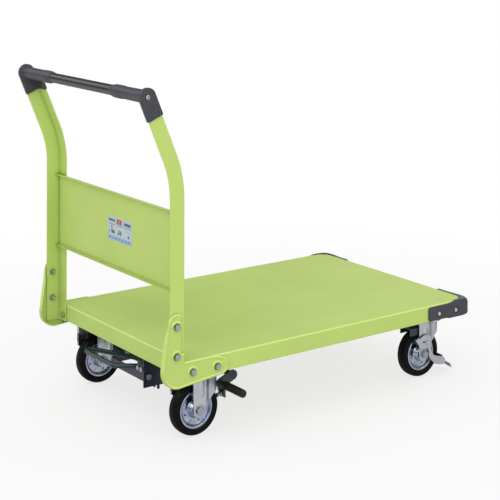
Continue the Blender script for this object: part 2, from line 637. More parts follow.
def nuts(node):
    bm = bmesh.new()
    for pts in islands(node):
        a = np.array([tuple(p) for p in pts])
        lo, hi = a.min(0), a.max(0)
        k = int(np.argmin(hi - lo))
        c = (lo + hi) / 2
        o = [i for i in range(3) if i != k]
        r = np.hypot(a[:, o[0]] - c[o[0]], a[:, o[1]] - c[o[1]])
        origin = Vector(c); origin[k] = lo[k]
        M = place(k, 1, origin)
        hex_head(bm, M, 2 * r.max() * math.cos(math.radians(30)), hi[k] - lo[k], both=True, hole=r.min(), phase=math.radians(9 * (len(bm.verts) % 7)))
    bmesh.ops.recalc_face_normals(bm, faces=bm.faces)
    return to_object(bm, node + "_fin", node, sharp=26)


for n in ("frame_bolts", "caster_bolts"):
    bolts(n)
for n in ("rear_axle_bolts", "front_left_axle_bolt", "front_right_axle_bolt"):
    bolts(n, 0.00175)
for n in ("frame_nuts", "caster_nuts", "rear_axle_nuts", "front_left_axle_nut", "front_right_axle_nut"):
    nuts(n)


# ------------------------------------------------------------------ spring
def spring():
    lo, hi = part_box("return_spring")
    c = (lo + hi) / 2
    s_lo, s_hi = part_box("brake_shaft")
    R, w = 0.0050, 0.0008
    turns = 19
    path = []
    x0, x1 = lo.x, hi.x
    # hook at each end reaches the pin it holds
    pin_a = Vector((lo.x - 0.0166, c.y, c.z))
    pin_b = Vector((hi.x + 0.0170, c.y, c.z - 0.002))
    def hook(end, inner, up):
        pts = []
        for i in range(15):
            a = math.radians(-20 + 300 * i / 14)
            pts.append(Vector((end.x + (1 if up else -1) * 0.0044 * math.cos(a), c.y, end.z + 0.0044 * math.sin(a))))
        return pts
    helix = [Vector((x0 + (x1 - x0) * t / (turns * 20), c.y + R * math.cos(2 * math.pi * t / 20), c.z + R * math.sin(2 * math.pi * t / 20))) for t in range(turns * 20 + 1)]
    path = list(reversed(hook(pin_a, x0, True))) + helix + hook(pin_b, x1, False)
    return path, w


def sweep(path, r, n=10, closed=False):
    bm = bmesh.new()
    rings, up = [], Vector((0.31, 0.2, 0.93)).normalized()
    for i, p in enumerate(path):
        a, b = path[max(i - 1, 0)], path[min(i + 1, len(path) - 1)]
        t = (b - a).normalized()
        up = (up - t * up.dot(t))
        if up.length < 1e-5:
            up = t.orthogonal()
        up.normalize()
        s = t.cross(up)
        rr = r(i) if callable(r) else r
        rings.append([bm.verts.new(p + (up * math.cos(2 * math.pi * k / n) + s * math.sin(2 * math.pi * k / n)) * rr) for k in range(n)])
    for a, b in zip(rings, rings[1:]):
        for k in range(n):
            bm.faces.new((a[k], a[(k + 1) % n], b[(k + 1) % n], b[k]))
    bm.faces.new(rings[0][::-1])
    bm.faces.new(rings[-1])
    bmesh.ops.recalc_face_normals(bm, faces=bm.faces)
    return bm


path, w = spring()
to_object(sweep(path, w, 8), "return_spring_fin", "return_spring", sharp=60, weighted=False)

# ------------------------------------------------------------------ hand-built sheet metal and mouldings
def smooth(a, b, x):
    t = min(max((x - a) / (b - a), 0.0), 1.0)
    return t * t * (3 - 2 * t)


def table(xs, ys):
    """Smooth monotone lookup through (xs, ys)."""
    def f(x):
        if x <= xs[0]:
            return ys[0]
        for i in range(len(xs) - 1):
            if x <= xs[i + 1]:
                return ys[i] + (ys[i + 1] - ys[i]) * smooth(0, 1, (x - xs[i]) / (xs[i + 1] - xs[i]))
        return ys[-1]
    return f


def grid_solid(bm, outer, inner, closed_u=False):
    """Closed skin between two grids of points outer[i][j] and inner[i][j]."""
    ni, nj = len(outer), len(outer[0])
    A = [[bm.verts.new(p) for p in row] for row in outer]
    B = [[bm.verts.new(p) for p in row] for row in inner]
    for i in range(ni - 1):
        for j in range(nj - 1):
            bm.faces.new((A[i][j], A[i][j + 1], A[i + 1][j + 1], A[i + 1][j]))
            bm.faces.new((B[i][j], B[i + 1][j], B[i + 1][j + 1], B[i][j + 1]))
    for i in range(ni - 1):
        bm.faces.new((A[i][0], A[i + 1][0], B[i + 1][0], B[i][0]))
        bm.faces.new((A[i][-1], B[i][-1], B[i + 1][-1], A[i + 1][-1]))
    for j in range(nj - 1):
        bm.faces.new((A[0][j], B[0][j], B[0][j + 1], A[0][j + 1]))
        bm.faces.new((A[-1][j], A[-1][j + 1], B[-1][j + 1], B[-1][j]))


def bevel_sharp(bm, off, seg=2, ang=35.0, verts=None):
    es = [e for e in bm.edges if len(e.link_faces) == 2 and e.calc_face_angle(0.0) > math.radians(ang) and (verts is None or e.verts[0] in verts)]
    if es:
        bmesh.ops.bevel(bm, geom=es, offset=off * MM, offset_type="OFFSET", segments=seg, profile=0.5, affect="EDGES", clamp_overlap=True)


def merge_in(bm, part):
    me = bpy.data.meshes.new("t")
    part.to_mesh(me)
    part.free()
    bm.from_mesh(me)
    bpy.data.meshes.remove(me)


def prism(pts, z0, z1, to_world, bevel=0.5, seg=2, ang=35.0, holes=()):
    """Plate from an outline; pts in mm, to_world maps (u, v, w) in mm to a world point."""
    bm = bmesh.new()
    a = [bm.verts.new(to_world(u, v, z0)) for u, v in pts]
    b = [bm.verts.new(to_world(u, v, z1)) for u, v in pts]
    n = len(pts)
    if not holes:
        bm.faces.new(a[::-1])
        bm.faces.new(b)
        for i in range(n):
            bm.faces.new((a[i], a[(i + 1) % n], b[(i + 1) % n], b[i]))
    else:
        loops = [(a, b)]
        for h in holes:
            loops.append(([bm.verts.new(to_world(u, v, z0)) for u, v in h], [bm.verts.new(to_world(u, v, z1)) for u, v in h]))
        for lo_, hi_ in loops:
            m = len(lo_)
            for i in range(m):
                bm.faces.new((lo_[i], lo_[(i + 1) % m], hi_[(i + 1) % m], hi_[i]))
        for k in (0, 1):
            es = []
            for L in loops:
                m = len(L[k])
                es += [bm.edges.get((L[k][i], L[k][(i + 1) % m])) for i in range(m)]
            bmesh.ops.triangle_fill(bm, use_beauty=True, use_dissolve=True, edges=es)
    bmesh.ops.recalc_face_normals(bm, faces=bm.faces)
    if bevel:
        bevel_sharp(bm, bevel, seg, ang)
    return bm


def rounded(pts, r, n=6):
    """Outline with its corners rounded; r is one radius or one per corner."""
    out, m = [], len(pts)
    for i in range(m):
        p, a, b = Vector(pts[i]), Vector(pts[i - 1]), Vector(pts[(i + 1) % m])
        rr = r[i] if isinstance(r, (list, tuple)) else r
        u, v = (a - p), (b - p)
        la, lb = u.length, v.length
        u.normalize(); v.normalize()
        ang = u.angle(v)
        d = min(rr / math.tan(ang / 2), la * 0.48, lb * 0.48)
        q = d * math.tan(ang / 2)
        if d < 1e-3:
            out.append(tuple(p)); continue
        c = p + (u + v).normalized() * (q / math.sin(ang / 2))
        s, e = p + u * d, p + v * d
        a0 = math.atan2(s.y - c.y, s.x - c.x)
        a1 = math.atan2(e.y - c.y, e.x - c.x)
        da = (a1 - a0 + math.pi) % (2 * math.pi) - math.pi
        out += [(c.x + q * math.cos(a0 + da * k / n), c.y + q * math.sin(a0 + da * k / n)) for k in range(n + 1)]
    return out


def circle(u, v, r, n=32, a0=0.0):
    return [(u + r * math.cos(a0 + 2 * math.pi * i / n), v + r * math.sin(a0 + 2 * math.pi * i / n)) for i in range(n)]


# ---- posts: one bent angle each, with the rolled outer corner of hot bent steel
def post(side):
    node = side + "_post"
    lo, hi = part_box(node)
    s = 1 if side == "left" else -1
    wy = s * ((hi.y if s > 0 else lo.y) / MM - OY)
    zb = lo.z / MM
    x_in = hi.x / MM
    # the CAD's own bend: radius, centre and angle read back from the outer flange
    W, bcr, ang, bz, top = 40.0, 252.0, math.radians(23), 577.0, 155.0
    ro = bcr + W / 2
    px = x_in - ro
    def sec():
        o = [(ro - W, wy), ]
        o = rounded([(ro - W, wy), (ro, wy), (ro, wy - 38), (ro - 2.5, wy - 38), (ro - 2.5, wy - 2.5), (ro - W, wy - 2.5)], [1.1, 3.2, 1.1, 1.1, 1.6, 1.1], 5)
        return o
    S0 = sec()
    path = [(0.0, zb - bz)] + [(0.0, zb - bz + (bz - zb) * k / 6) for k in range(1, 6)]
    bm = bmesh.new()
    rings = []
    def ring(fn):
        rings.append([bm.verts.new(fn(r, y)) for r, y in S0])
    for k in range(7):
        z = zb + (bz - zb) * k / 6
        ring(lambda r, y, z=z: Vector((px + r, OY + s * y, z)) * MM)
    for k in range(1, 37):
        a = ang * k / 36
        ring(lambda r, y, a=a: Vector((px + r * math.cos(a), OY + s * y, bz + r * math.sin(a))) * MM)
    tl = top - 6
    for k in range(1, 5):
        d = tl * k / 4
        ring(lambda r, y, d=d: Vector((px + r * math.cos(ang) - d * math.sin(ang), OY + s * y, bz + r * math.sin(ang) + d * math.cos(ang))) * MM)
    n = len(S0)
    for a, b in zip(rings, rings[1:]):
        for i in range(n):
            bm.faces.new((a[i], a[(i + 1) % n], b[(i + 1) % n], b[i]))
    bm.faces.new(rings[0][::-1])
    bm.faces.new(rings[-1])
    # rounded end of the web inside the handle corner
    merge_in(bm, prism(circle(0, 0, 19.8, 40), -2.45, -0.05, lambda u, v, w: Vector((px + (bcr + u) * math.cos(ang) - (top + v) * math.sin(ang), OY + s * (wy + w), bz + (bcr + u) * math.sin(ang) + (top + v) * math.cos(ang))) * MM, 0.3))
    bmesh.ops.recalc_face_normals(bm, faces=bm.faces)
    return to_object(bm, node + "_fin", node, sharp=50)


# ---- caster forks
def leg(bm, at, sx, sy, zt, xr, xl):
    """One pressed leg. Axle at `at`; sx, sy mirror it. Flat, then a 16 mm bend, then a short lip."""
    fo, t, xf, R, lip = 25.0, 3.0, 41.0, 16.0, 5.0
    s_end = xf + R * math.pi / 2 + lip
    def step(s):
        return 2.8 * smooth(19, 30, s)
    def pos(s, off):
        if s <= xf:
            return s, -fo + off + step(s)
        th = (s - xf) / R
        k = step(s) * (1 - smooth(0, R, s - xf))
        if th <= math.pi / 2:
            return xf + (R - off) * math.sin(th), -fo + R - (R - off) * math.cos(th) + k
        return xf + R - off, -fo + R + (s - xf - R * math.pi / 2)
    def s_of(x):
        if x <= xf:
            return x
        if x >= xf + R - 0.01:
            return s_end
        return xf + R * math.asin((x - xf) / R)
    zs = [-15.46] + [-15.2 + 0.35 * k for k in range(6)] + [-13.0 + 1.0 * k for k in range(100)]
    zs = [z for z in zs if z < zt - 2] + [zt - (zt - zs[-1]) * 0.0]
    zs = sorted(set([z for z in zs if z < zt - 1] + [zt]))
    nj = 34
    O, I = [], []
    for z in zs:
        if z < 0:
            h = math.sqrt(max(15.5 ** 2 - z * z, 0.15))
            a, b = -h, h
        else:
            a, b = xl(z), s_of(xr(z))
        ro_, ri_ = [], []
        for j in range(nj):
            u = j / (nj - 1)
            s_ = a + (b - a) * u
            # pressed boss round the axle and a shallow stiffening swage up the middle
            d = math.hypot(s_, z)
            lift = 0.7 * (1 - smooth(11.5, 13.5, d))
            w = 5.5 * smooth(20, 45, z) + 0.01
            sw = 0.9 * smooth(24, 34, z) * (1 - smooth(zt - 22, zt - 12, z)) * (1 - smooth(w * 0.5, w, abs(s_ - 8)))
            q = -(lift + sw)
            x, y = pos(s_, q)
            ro_.append(Vector((at[0] + sx * x, at[1] + sy * y, at[2] + z)) * MM)
            x, y = pos(s_, t + q)
            ri_.append(Vector((at[0] + sx * x, at[1] + sy * y, at[2] + z)) * MM)
        O.append(ro_); I.append(ri_)
    part = bmesh.new()
    grid_solid(part, O, I)
    bmesh.ops.recalc_face_normals(part, faces=part.faces)
    bevel_sharp(part, 0.45, 2, 50)
    merge_in(bm, part)


def centre(node):
    lo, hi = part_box(node)
    return (lo + hi) / 2 / MM


REAR_R = table([0, 12, 17, 24, 40, 58, 74], [15.5, 17, 22, 37, 52.5, 56.2, 57])
REAR_L = table([0, 60], [-15.5, -16.5])
FRONT_R = table([0, 10, 22, 36, 55, 78], [15.5, 16.5, 23, 37, 50, 57])


def plate_outline(l, w, r):
    return rounded([(-l / 2, -w / 2), (l / 2, -w / 2), (l / 2, w / 2), (-l / 2, w / 2)], r, 6)


def rear_fork(side):
    node = f"rear_{side}_fork"
    at = centre(f"rear_{side}_tyre")
    lo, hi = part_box(node)
    zt = (hi.z) / MM
    bm = bmesh.new()
    leg(bm, at, 1, 1, zt - 2.5 - at[2] + 0.3, REAR_R, REAR_L)
    leg(bm, at, -1, -1, zt - 2.5 - at[2] + 0.3, REAR_R, REAR_L)
    merge_in(bm, prism(plate_outline((hi.x - lo.x) / MM, 90, 6), 0, 2.5, lambda u, v, w: Vector((at[0] + u, at[1] + v, zt - 2.5 + w)) * MM, 0.6))
    # pressed ridge round the plate, and weld beads where the legs meet it
    for sx_, sy_ in ((1, 1), (-1, -1)):
        pts = [Vector((at[0] + sx_ * x, at[1] + sy_ * -25.4, zt - 3.6)) * MM for x in np.linspace(-12, 40, 40)]
        merge_in(bm, sweep(pts, lambda i: (1.7 + 0.35 * math.sin(i * 1.9)) * MM, 8))
    return to_object(bm, node + "_fin", node, sharp=34)


def front_fork(side):
    node = f"front_{side}_fork"
    at = centre(f"front_{side}_tyre")
    lo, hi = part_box(node)
    pl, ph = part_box("front_top_plates")
    sx_ = (pl.x + ph.x) / 2 / MM
    k = Vector((sx_, at[1], 0))
    cz = hi.z / MM - 8.0
    bm = bmesh.new()
    for sy in (1, -1):
        leg(bm, at, 1, sy, cz - at[2] - 0.6, FRONT_R, REAR_L)
    # crown: soft-shouldered web and the turned cup that holds the balls
    merge_in(bm, prism(rounded([(-16.5, -24.6), (41, -24.6), (41, 24.6), (-16.5, 24.6)], 3, 5), cz - 4, cz, lambda u, v, w: Vector((at[0] + u, at[1] + v, w)) * MM, 0.8))
    cup = [(8.2, cz - 4), (33, cz - 4), (36.5, cz - 2.2), (36.5, cz + 7.2), (35.9, cz + 8), (34.8, cz + 8), (34.3, cz + 7.4), (34.3, cz + 1.5), (33.2, cz), (8.2, cz)]
    merge_in(bm, revolve([(r * MM, z * MM) for r, z in cup], Vector((k.x * MM, k.y * MM, 0)), "Z", 96))
    # pivot stud of the stopper
    stud = [(0.01, 25), (4, 25), (4, 30.1), (6, 30.1), (6, 31.2), (5.3, 32), (0.01, 32)]
    merge_in(bm, revolve([(r * MM, -o * MM) for r, o in stud], Vector((at[0] + 10, at[1], at[2] + 30)) * MM, "Y", 40))
    # fixed guide plate round the axle, under the bolt head
    wld = lambda u, v, w: Vector((at[0] + u, at[1] - w, at[2] + v)) * MM
    out = rounded([(-19, 17), (-6, 19), (7, 16), (12, 4), (13, -10), (5, -17), (-10, -17), (-17, -8)], [5, 5, 6, 6, 6, 7, 7, 7], 5)
    merge_in(bm, prism(out, 25.0, 26.2, wld, 0.35))
    return to_object(bm, node + "_fin", node, sharp=34)


# ---- stopper: lever plate with a hooked upper end, arm and ribbed foot pedal
def stopper(side):
    node = f"front_{side}_brake_lever"
    at = centre(f"front_{side}_tyre")
    lo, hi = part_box(node)
    wld = lambda u, v, w: Vector((at[0] + u, at[1] - w, at[2] + v)) * MM
    out = [(-34, 42), (-26, 46.5), (-15, 46), (-3, 52), (9, 52), (19, 46), (23, 34), (22, 22), (21, 12), (24, 2), (33, -8), (48, -13), (66, -17.5), (73, -25), (72.5, -38), (52, -36), (36, -31.5), (21, -17), (12.6, -3), (12.6, 9), (3, 15.5), (-19, 17), (-22, 27), (-28, 35.5)]
    rr = [2, 4, 6, 7, 7, 7, 7, 9, 9, 5, 4, 4, 3, 2, 2.5, 4, 5, 9, 7, 5, 5, 3, 5, 6]
    slot1 = [(0.5 + x, 33.5 + y) for x, y in rounded([(-7, -1.6), (3.4, -1.6), (3.4, 1.6), (-7, 1.6)], 1.5, 5)]
    slot2 = [(9.5 + x, 14.8 + y) for x, y in circle(0, 0, 2.1, 20)]
    stud = circle(10, 30, 4.05, 32)
    slot1 = rounded([(-8.5, 32), (1.5, 32), (1.5, 35.2), (-8.5, 35.2)], 1.5, 5)
    bm = prism(rounded(out, rr, 6), 27.55, 30.0, wld, 0.0, holes=(slot1, slot2, stud))
    bmesh.ops.recalc_face_normals(bm, faces=bm.faces)
    bevel_sharp(bm, 0.45, 2, 50)
    # brake pad that meets the tyre
    c, s = math.cos(math.radians(18.7)), math.sin(math.radians(18.7))
    R = (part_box(f"front_{side}_tyre")[1].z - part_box(f"front_{side}_tyre")[0].z) / 2 / MM
    pad = lambda u, v, w: Vector((at[0] + (R + 0.45 + w) * c + v * s, at[1] + u, at[2] - (R + 0.45 + w) * s + v * c)) * MM
    merge_in(bm, prism(rounded([(-29.5, -8.6), (17.5, -8.6), (17.5, 8.6), (-29.5, 8.6)], 2.5, 4), 0.0, 3.0, pad, 0.6))
    # foot plate: pressed tread, turned-down sides
    a = math.radians(31)
    o = Vector((66, 0, -24))
    def foot(u, v, w):
        return Vector((at[0] + o.x + u * math.cos(a) + w * math.sin(a), at[1] - 30 + v, at[2] + o.z - u * math.sin(a) + w * math.cos(a))) * MM
    nu, nv = 46, 40
    O, I = [], []
    for i in range(nu):
        u = -6.8 + 52.4 * i / (nu - 1)
        ro_, ri_ = [], []
        for j in range(nv):
            tv = j / (nv - 1)
            half = 22.8 - 4.5 * smooth(31, 45.6, u)
            v = 23 + (2 * tv - 1) * half
            side_drop = (3.2 + 3.6 * smooth(6, 16, u)) * smooth(0.84, 1.0, abs(2 * tv - 1)) ** 1.2
            nose = 2.2 * smooth(36, 45.6, u)
            rib = 0.75 * max(0.0, math.cos((u - 16) / 5.2 * 2 * math.pi)) * smooth(9, 12, u) * (1 - smooth(37, 40, u)) * (1 - smooth(0.70, 0.82, abs(2 * tv - 1)))
            w = -0.9 - side_drop * (1 - smooth(30, 49, u) * 0.35) - nose + rib
            w = min(w, 0.95)
            ro_.append(foot(u, v, w))
            ri_.append(foot(u, v, w - rib - 1.8))
        O.append(ro_); I.append(ri_)
    part = bmesh.new()
    grid_solid(part, O, I)
    bmesh.ops.recalc_face_normals(part, faces=part.faces)
    bevel_sharp(part, 0.35, 2, 50)
    merge_in(bm, part)
    return to_object(bm, node + "_fin", node, sharp=36)


# ---- front corner bumpers: one moulding swept round the corner, lip on the deck, sunk rivet seats
def bumper(side):
    node = side + "_bumper"
    s = 1 if side == "left" else -1
    dlo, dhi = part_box("deck")
    blo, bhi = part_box(node)
    fx, wy, zd = dhi.x / MM, dhi.y / MM - OY, dhi.z / MM
    zb = blo.z / MM
    zt = zd + 1.7
    Rv = 25.0
    x_end = blo.x / MM
    y_end = s * ((blo.y if s > 0 else bhi.y) / MM - OY)
    L1 = fx - Rv - x_end
    La = Rv * math.pi / 2
    L2 = wy - Rv - y_end
    total = L1 + La + L2
    def base(t):
        if t < L1:
            return (x_end + t, wy), (0.0, 1.0)
        if t < L1 + La:
            a = math.pi / 2 - (t - L1) / Rv
            return (fx - Rv + Rv * math.cos(a), wy - Rv + Rv * math.sin(a)), (math.cos(a), math.sin(a))
        return (fx, wy - Rv - (t - L1 - La)), (1.0, 0.0)
    mx = bhi.x / MM - fx
    T = table([0, L1 - 14, L1 + 6, L1 + La * 0.5, L1 + La, L1 + La + 12, L1 + La + 48, total], [4.5, 4.5, 6.5, 15.0, mx - 0.6, mx - 1.3, 4.5, 4.5])
    # the side arm stops under the deck's edge; only the corner and the front arm climb over it
    HI = table([0, L1 - 46, L1 - 12, total], [-3.4, -3.4, 1.7, 1.7])
    DROP = table([0, L1 - 52, L1 - 36, L1 + La, L1 + La + 26, total], [0, 0, 2.6, 2.6, 0, 0])
    rlo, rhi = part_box("bumper_rivets")
    zr = (rlo.z + rhi.z) / 2 / MM
    riv = [L1 - (fx - Rv) + (fx - 100), L1 - (fx - Rv) + (fx - 40), L1 + La + (wy - Rv) - (wy - 88)]
    ns = 420
    rings = []
    bm = bmesh.new()
    for i in range(ns + 1):
        t = total * i / ns
        (px_, py_), (nx_, ny_) = base(t)
        end = min(t, total - t)
        q = 7.5
        shrink = q - math.sqrt(max(q * q - max(q - end, 0.0) ** 2, 0.0)) if end < q else 0.0
        th = T(t) - 0.9 * shrink * 0.35
        lo_z, hi_z = zb - DROP(t) + shrink, zd + HI(t) - shrink
        rb_, rt_ = 3.2 + 0.55 * max(T(t) - 4.5, 0), 4.2 + 0.62 * max(T(t) - 4.5, 0)
        sec = [(0.15, lo_z)]
        sec += [(th - rb_ + rb_ * math.sin(math.radians(k)), lo_z + rb_ - rb_ * math.cos(math.radians(k))) for k in range(0, 91, 15)]
        nz = 44
        za, zc = lo_z + rb_, hi_z - rt_
        for k in range(1, nz):
            z = za + (zc - za) * k / nz
            d = 0.0
            for r_ in riv:
                rr_ = math.hypot(t - r_, z - zr)
                seat = 1.5 * (1 - smooth(5.6, 5.9, rr_)) + 3.1 * smooth(5.6, 6.2, rr_) * (1 - smooth(7.4, 8.6, rr_))
                d = max(d, seat)
                d -= 0.45 * math.exp(-((rr_ - 9.8) / 0.9) ** 2)
            d -= 0.45 * math.exp(-((z - hi_z + rt_ + 1.6) / 1.1) ** 2) + 0.3 * math.exp(-((z - lo_z - rb_ - 1.2) / 1.0) ** 2)
            sec.append((th - d, z))
        sec += [(th - rt_ + rt_ * math.cos(math.radians(k)), hi_z - rt_ + rt_ * math.sin(math.radians(k))) for k in range(0, 91, 13)]
        lip = 3.2 + 7.5 * math.exp(-((t - L1 - La / 2) / 20.0) ** 2)
        lip = max((lip - shrink * 0.9) * smooth(0.0, 1.5, HI(t)), -0.2)
        top = max(hi_z, 0)
        inner_z = min(zd + 0.05, hi_z - 1.4)
        sec += [(-lip + 1.1, hi_z), (-lip + 0.35, hi_z - 0.35), (-lip, hi_z - 1.0), (-lip, inner_z), (0.15, inner_z)]
        rings.append([bm.verts.new(Vector((px_ + nx_ * d, OY + s * (py_ + ny_ * d), z)) * MM) for d, z in sec])
    n = len(rings[0])
    for a, b in zip(rings, rings[1:]):
        for k in range(n):
            bm.faces.new((a[k], a[(k + 1) % n], b[(k + 1) % n], b[k]))
    bm.faces.new(rings[0][::-1])
    bm.faces.new(rings[-1])
    bmesh.ops.recalc_face_normals(bm, faces=bm.faces)
    bevel_sharp(bm, 0.5, 2, 60)
    return to_object(bm, node + "_fin", node, sharp=48)


# ---- gussets: fine skin of the CAD solid with the pressed rim bead and ringed bolt seats
def gusset(side):
    node = side + "_gusset"
    s = 1 if side == "left" else -1
    lo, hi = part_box(node)
    yo = s * ((hi.y if s > 0 else lo.y) / MM - OY)
    face_y = yo - 1.2
    bm = clean_bmesh(node)
    bmesh.ops.triangulate(bm, faces=bm.faces)
    segs = []
    for e in bm.edges:
        a, b = e.verts[0].co / MM, e.verts[1].co / MM
        if abs(s * (a.y - OY) - face_y) < 0.05 and abs(s * (b.y - OY) - face_y) < 0.05 and len(e.link_faces) == 2 and e.calc_face_angle(0.0) > 1.0:
            segs.append((a.x, a.z, b.x, b.z))
    bm.free()
    blt = []
    for pts in islands("frame_bolts"):
        c = np.mean([tuple(p) for p in pts], axis=0) / MM
        c_lo, c_hi = np.min([tuple(p) for p in pts], axis=0) / MM, np.max([tuple(p) for p in pts], axis=0) / MM
        ext = c_hi - c_lo
        if s * (c[1] - OY) > 0 and ext[1] == max(ext):
            blt.append(((c_lo[0] + c_hi[0]) / 2, (c_lo[2] + c_hi[2]) / 2))
    segs = [g for g in segs if all(math.hypot((g[0] + g[2]) / 2 - b[0], (g[1] + g[3]) / 2 - b[1]) > 13.2 for b in blt)]
    G = np.array(segs)
    B = np.array(blt)

    def disp(co, me):
        c = co / MM
        c[:, 1] -= OY
        nrm = np.zeros(len(me.vertices) * 3)
        me.vertices.foreach_get("normal", nrm)
        nrm = nrm.reshape(-1, 3)
        near = (s * c[:, 1] > face_y - 1.6)
        idx = np.where(near)[0]
        P = c[idx][:, [0, 2]]
        a, b = G[:, :2], G[:, 2:]
        ab = b - a
        best = np.full(len(P), 1e9)
        for k in range(len(G)):
            L2 = max((ab[k] ** 2).sum(), 1e-9)
            t = np.clip(((P - a[k]) @ ab[k]) / L2, 0, 1)
            d = np.hypot(*(P - (a[k] + t[:, None] * ab[k])).T)
            best = np.minimum(best, d)
        sm = lambda x0, x1, x: (lambda t: t * t * (3 - 2 * t))(np.clip((x - x0) / (x1 - x0), 0, 1))
        rim = 0.85 * sm(0.6, 2.4, best) * (1 - sm(3.6, 6.0, best))
        seat = np.zeros(len(P))
        inb = np.zeros(len(P))
        for bx, bz in B:
            r = np.hypot(P[:, 0] - bx, P[:, 1] - bz)
            seat = np.maximum(seat, 1.15 * sm(14.6, 12.0, r) if False else 1.15 * (1 - sm(11.6, 14.6, r)))
            inb = np.maximum(inb, 1.3 * (1 - sm(7.4, 9.4, r)))
        h = np.maximum(rim, seat) - inb
        flat = np.clip(s * nrm[idx, 1], 0, 1) ** 0.5
        base = np.minimum(s * c[idx, 1], face_y)
        new = np.where(s * nrm[idx, 1] > 0.25, base + h * flat, s * c[idx, 1])
        c[idx, 1] = s * new
        # the rear lip runs out to nothing at its upper end
        pin = face_y - 2.8
        yy = s * c[:, 1]
        run = sm(255.0, 299.0, c[:, 2])
        c[:, 1] = s * np.where(yy < pin, pin - (pin - yy) * (1 - run), yy)
        c[:, 1] += OY
        return c * MM

    ob = softened(node, 0.85, 5, displace=disp)
    ob.data.materials[0] = MATS["lime_pressed"]
    return ob


for sd in ("left", "right"):
    post(sd)
    gusset(sd)
    bumper(sd)
    rear_fork(sd)
    front_fork(sd)
    stopper(sd)


def skin(bm, node, voxel, passes, name=None):
    """Unites overlapping closed shapes into one moulded skin."""
    me = bpy.data.meshes.new("t")
    bmesh.ops.triangulate(bm, faces=bm.faces)
    bm.to_mesh(me)
    bm.free()
    ob = bpy.data.objects.new("t", me)
    SC.collection.objects.link(ob)
    r = ob.modifiers.new("r", "REMESH")
    r.mode = "VOXEL"
    r.voxel_size = voxel * MM
    sm = ob.modifiers.new("s", "SMOOTH")
    sm.factor = 0.5
    sm.iterations = passes
    me2 = bpy.data.meshes.new_from_object(ob.evaluated_get(bpy.context.evaluated_depsgraph_get()))
    bpy.data.objects.remove(ob)
    out = new_object(name or node + "_fin", me2, node)
    for p in me2.polygons:
        p.use_smooth = True
    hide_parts(node)
    return out


# ---- handle corners: thin knuckle and L-shaped boot over the post, sleeve over the tube
def handle_corner(side):
    node = side + "_handle_corner"
    s = 1 if side == "left" else -1
    plo, phi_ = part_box(side + "_post")
    wy = s * ((phi_.y if s > 0 else plo.y) / MM - OY)
    W, bcr, ang, bz, top = 40.0, 252.0, math.radians(23), 577.0, 155.0
    px_ = phi_.x / MM - (bcr + W / 2)
    ca_, sa_ = math.cos(ang), math.sin(ang)
    wld = lambda u, v, w: Vector((px_ + (bcr + u) * ca_ - (top + v) * sa_, OY + s * w, bz + (bcr + u) * sa_ + (top + v) * ca_)) * MM
    bm = bmesh.new()
    web = [(-21.4, -54), (21.4, -54)] + [(21.4 * math.cos(math.radians(a)), 21.4 * math.sin(math.radians(a))) for a in range(0, 181, 6)]
    merge_in(bm, prism(web, wy - 7.5, wy + 1.1, wld, 1.0, 3))
    # outer face with the screw's seat sunk in it
    merge_in(bm, prism(web, wy + 0.4, wy + 3.1, wld, 0.0, holes=(circle(0, 0, 6.7, 48),)))
    fl = [(wy + 2, -54), (wy - 41.4, -54), (wy - 41.4, -34), (wy - 50, -24), (wy - 66, -10), (wy - 66, -2), (wy + 2, -2)]
    merge_in(bm, prism(fl, 13.2, 21.4, lambda p, q, r: wld(r, q, p), 0.8, 2))
    r0 = (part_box("handle_tube")[1].y, 12.5)[1]
    prof = [(2, wy - 4), (15.6, wy - 4), (16.6, wy - 8), (15.4, wy - 14), (15.0, wy - 60), (14.8, wy - 104), (15.9, wy - 107), (16.0, wy - 121), (15.6, wy - 139), (14.0, wy - 143), (13.9, wy - 151.2), (13.2, wy - 152), (2, wy - 152)]
    n = 72
    part = bmesh.new()
    rings = [[part.verts.new(wld(r * math.cos(2 * math.pi * i / n), r * math.sin(2 * math.pi * i / n), w)) for r, w in prof] for i in range(n)]
    m_ = len(prof)
    for i in range(n):
        a, b = rings[i], rings[(i + 1) % n]
        for k in range(m_ - 1):
            part.faces.new((a[k], a[k + 1], b[k + 1], b[k]))
    part.faces.new([r[0] for r in rings]); part.faces.new([r[-1] for r in rings][::-1])
    bmesh.ops.recalc_face_normals(part, faces=part.faces)
    merge_in(bm, part)
    return skin(bm, node, 0.9, 5)


for sd in ("left", "right"):
    handle_corner(sd)


# ---- bright bolt heads of the brake frame, set over the frame's own ones
def frame_heads():
    lo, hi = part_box("brake_frame")
    x0, y0 = lo.x / MM, lo.y / MM
    bm = bmesh.new()
    blo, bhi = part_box("pedal_pivot_bolt")
    for y, z in ((y0 + 12.9, 125.0), (y0 + 27.9, 125.0)):
        hex_head(bm, place(0, -1, Vector((x0 + 4.0, y, z)) * MM), 10.9 * MM, 4.6 * MM)
    hex_head(bm, place(1, -1, Vector((x0 + 16.2, y0 + 5.2, 107.0)) * MM), 14.0 * MM, 5.9 * MM)
    bmesh.ops.recalc_face_normals(bm, faces=bm.faces)
    ob = to_object(bm, "brake_frame_heads", "brake_frame", mat="fastener_zinc", sharp=26, replace=False)
    return ob


frame_heads()

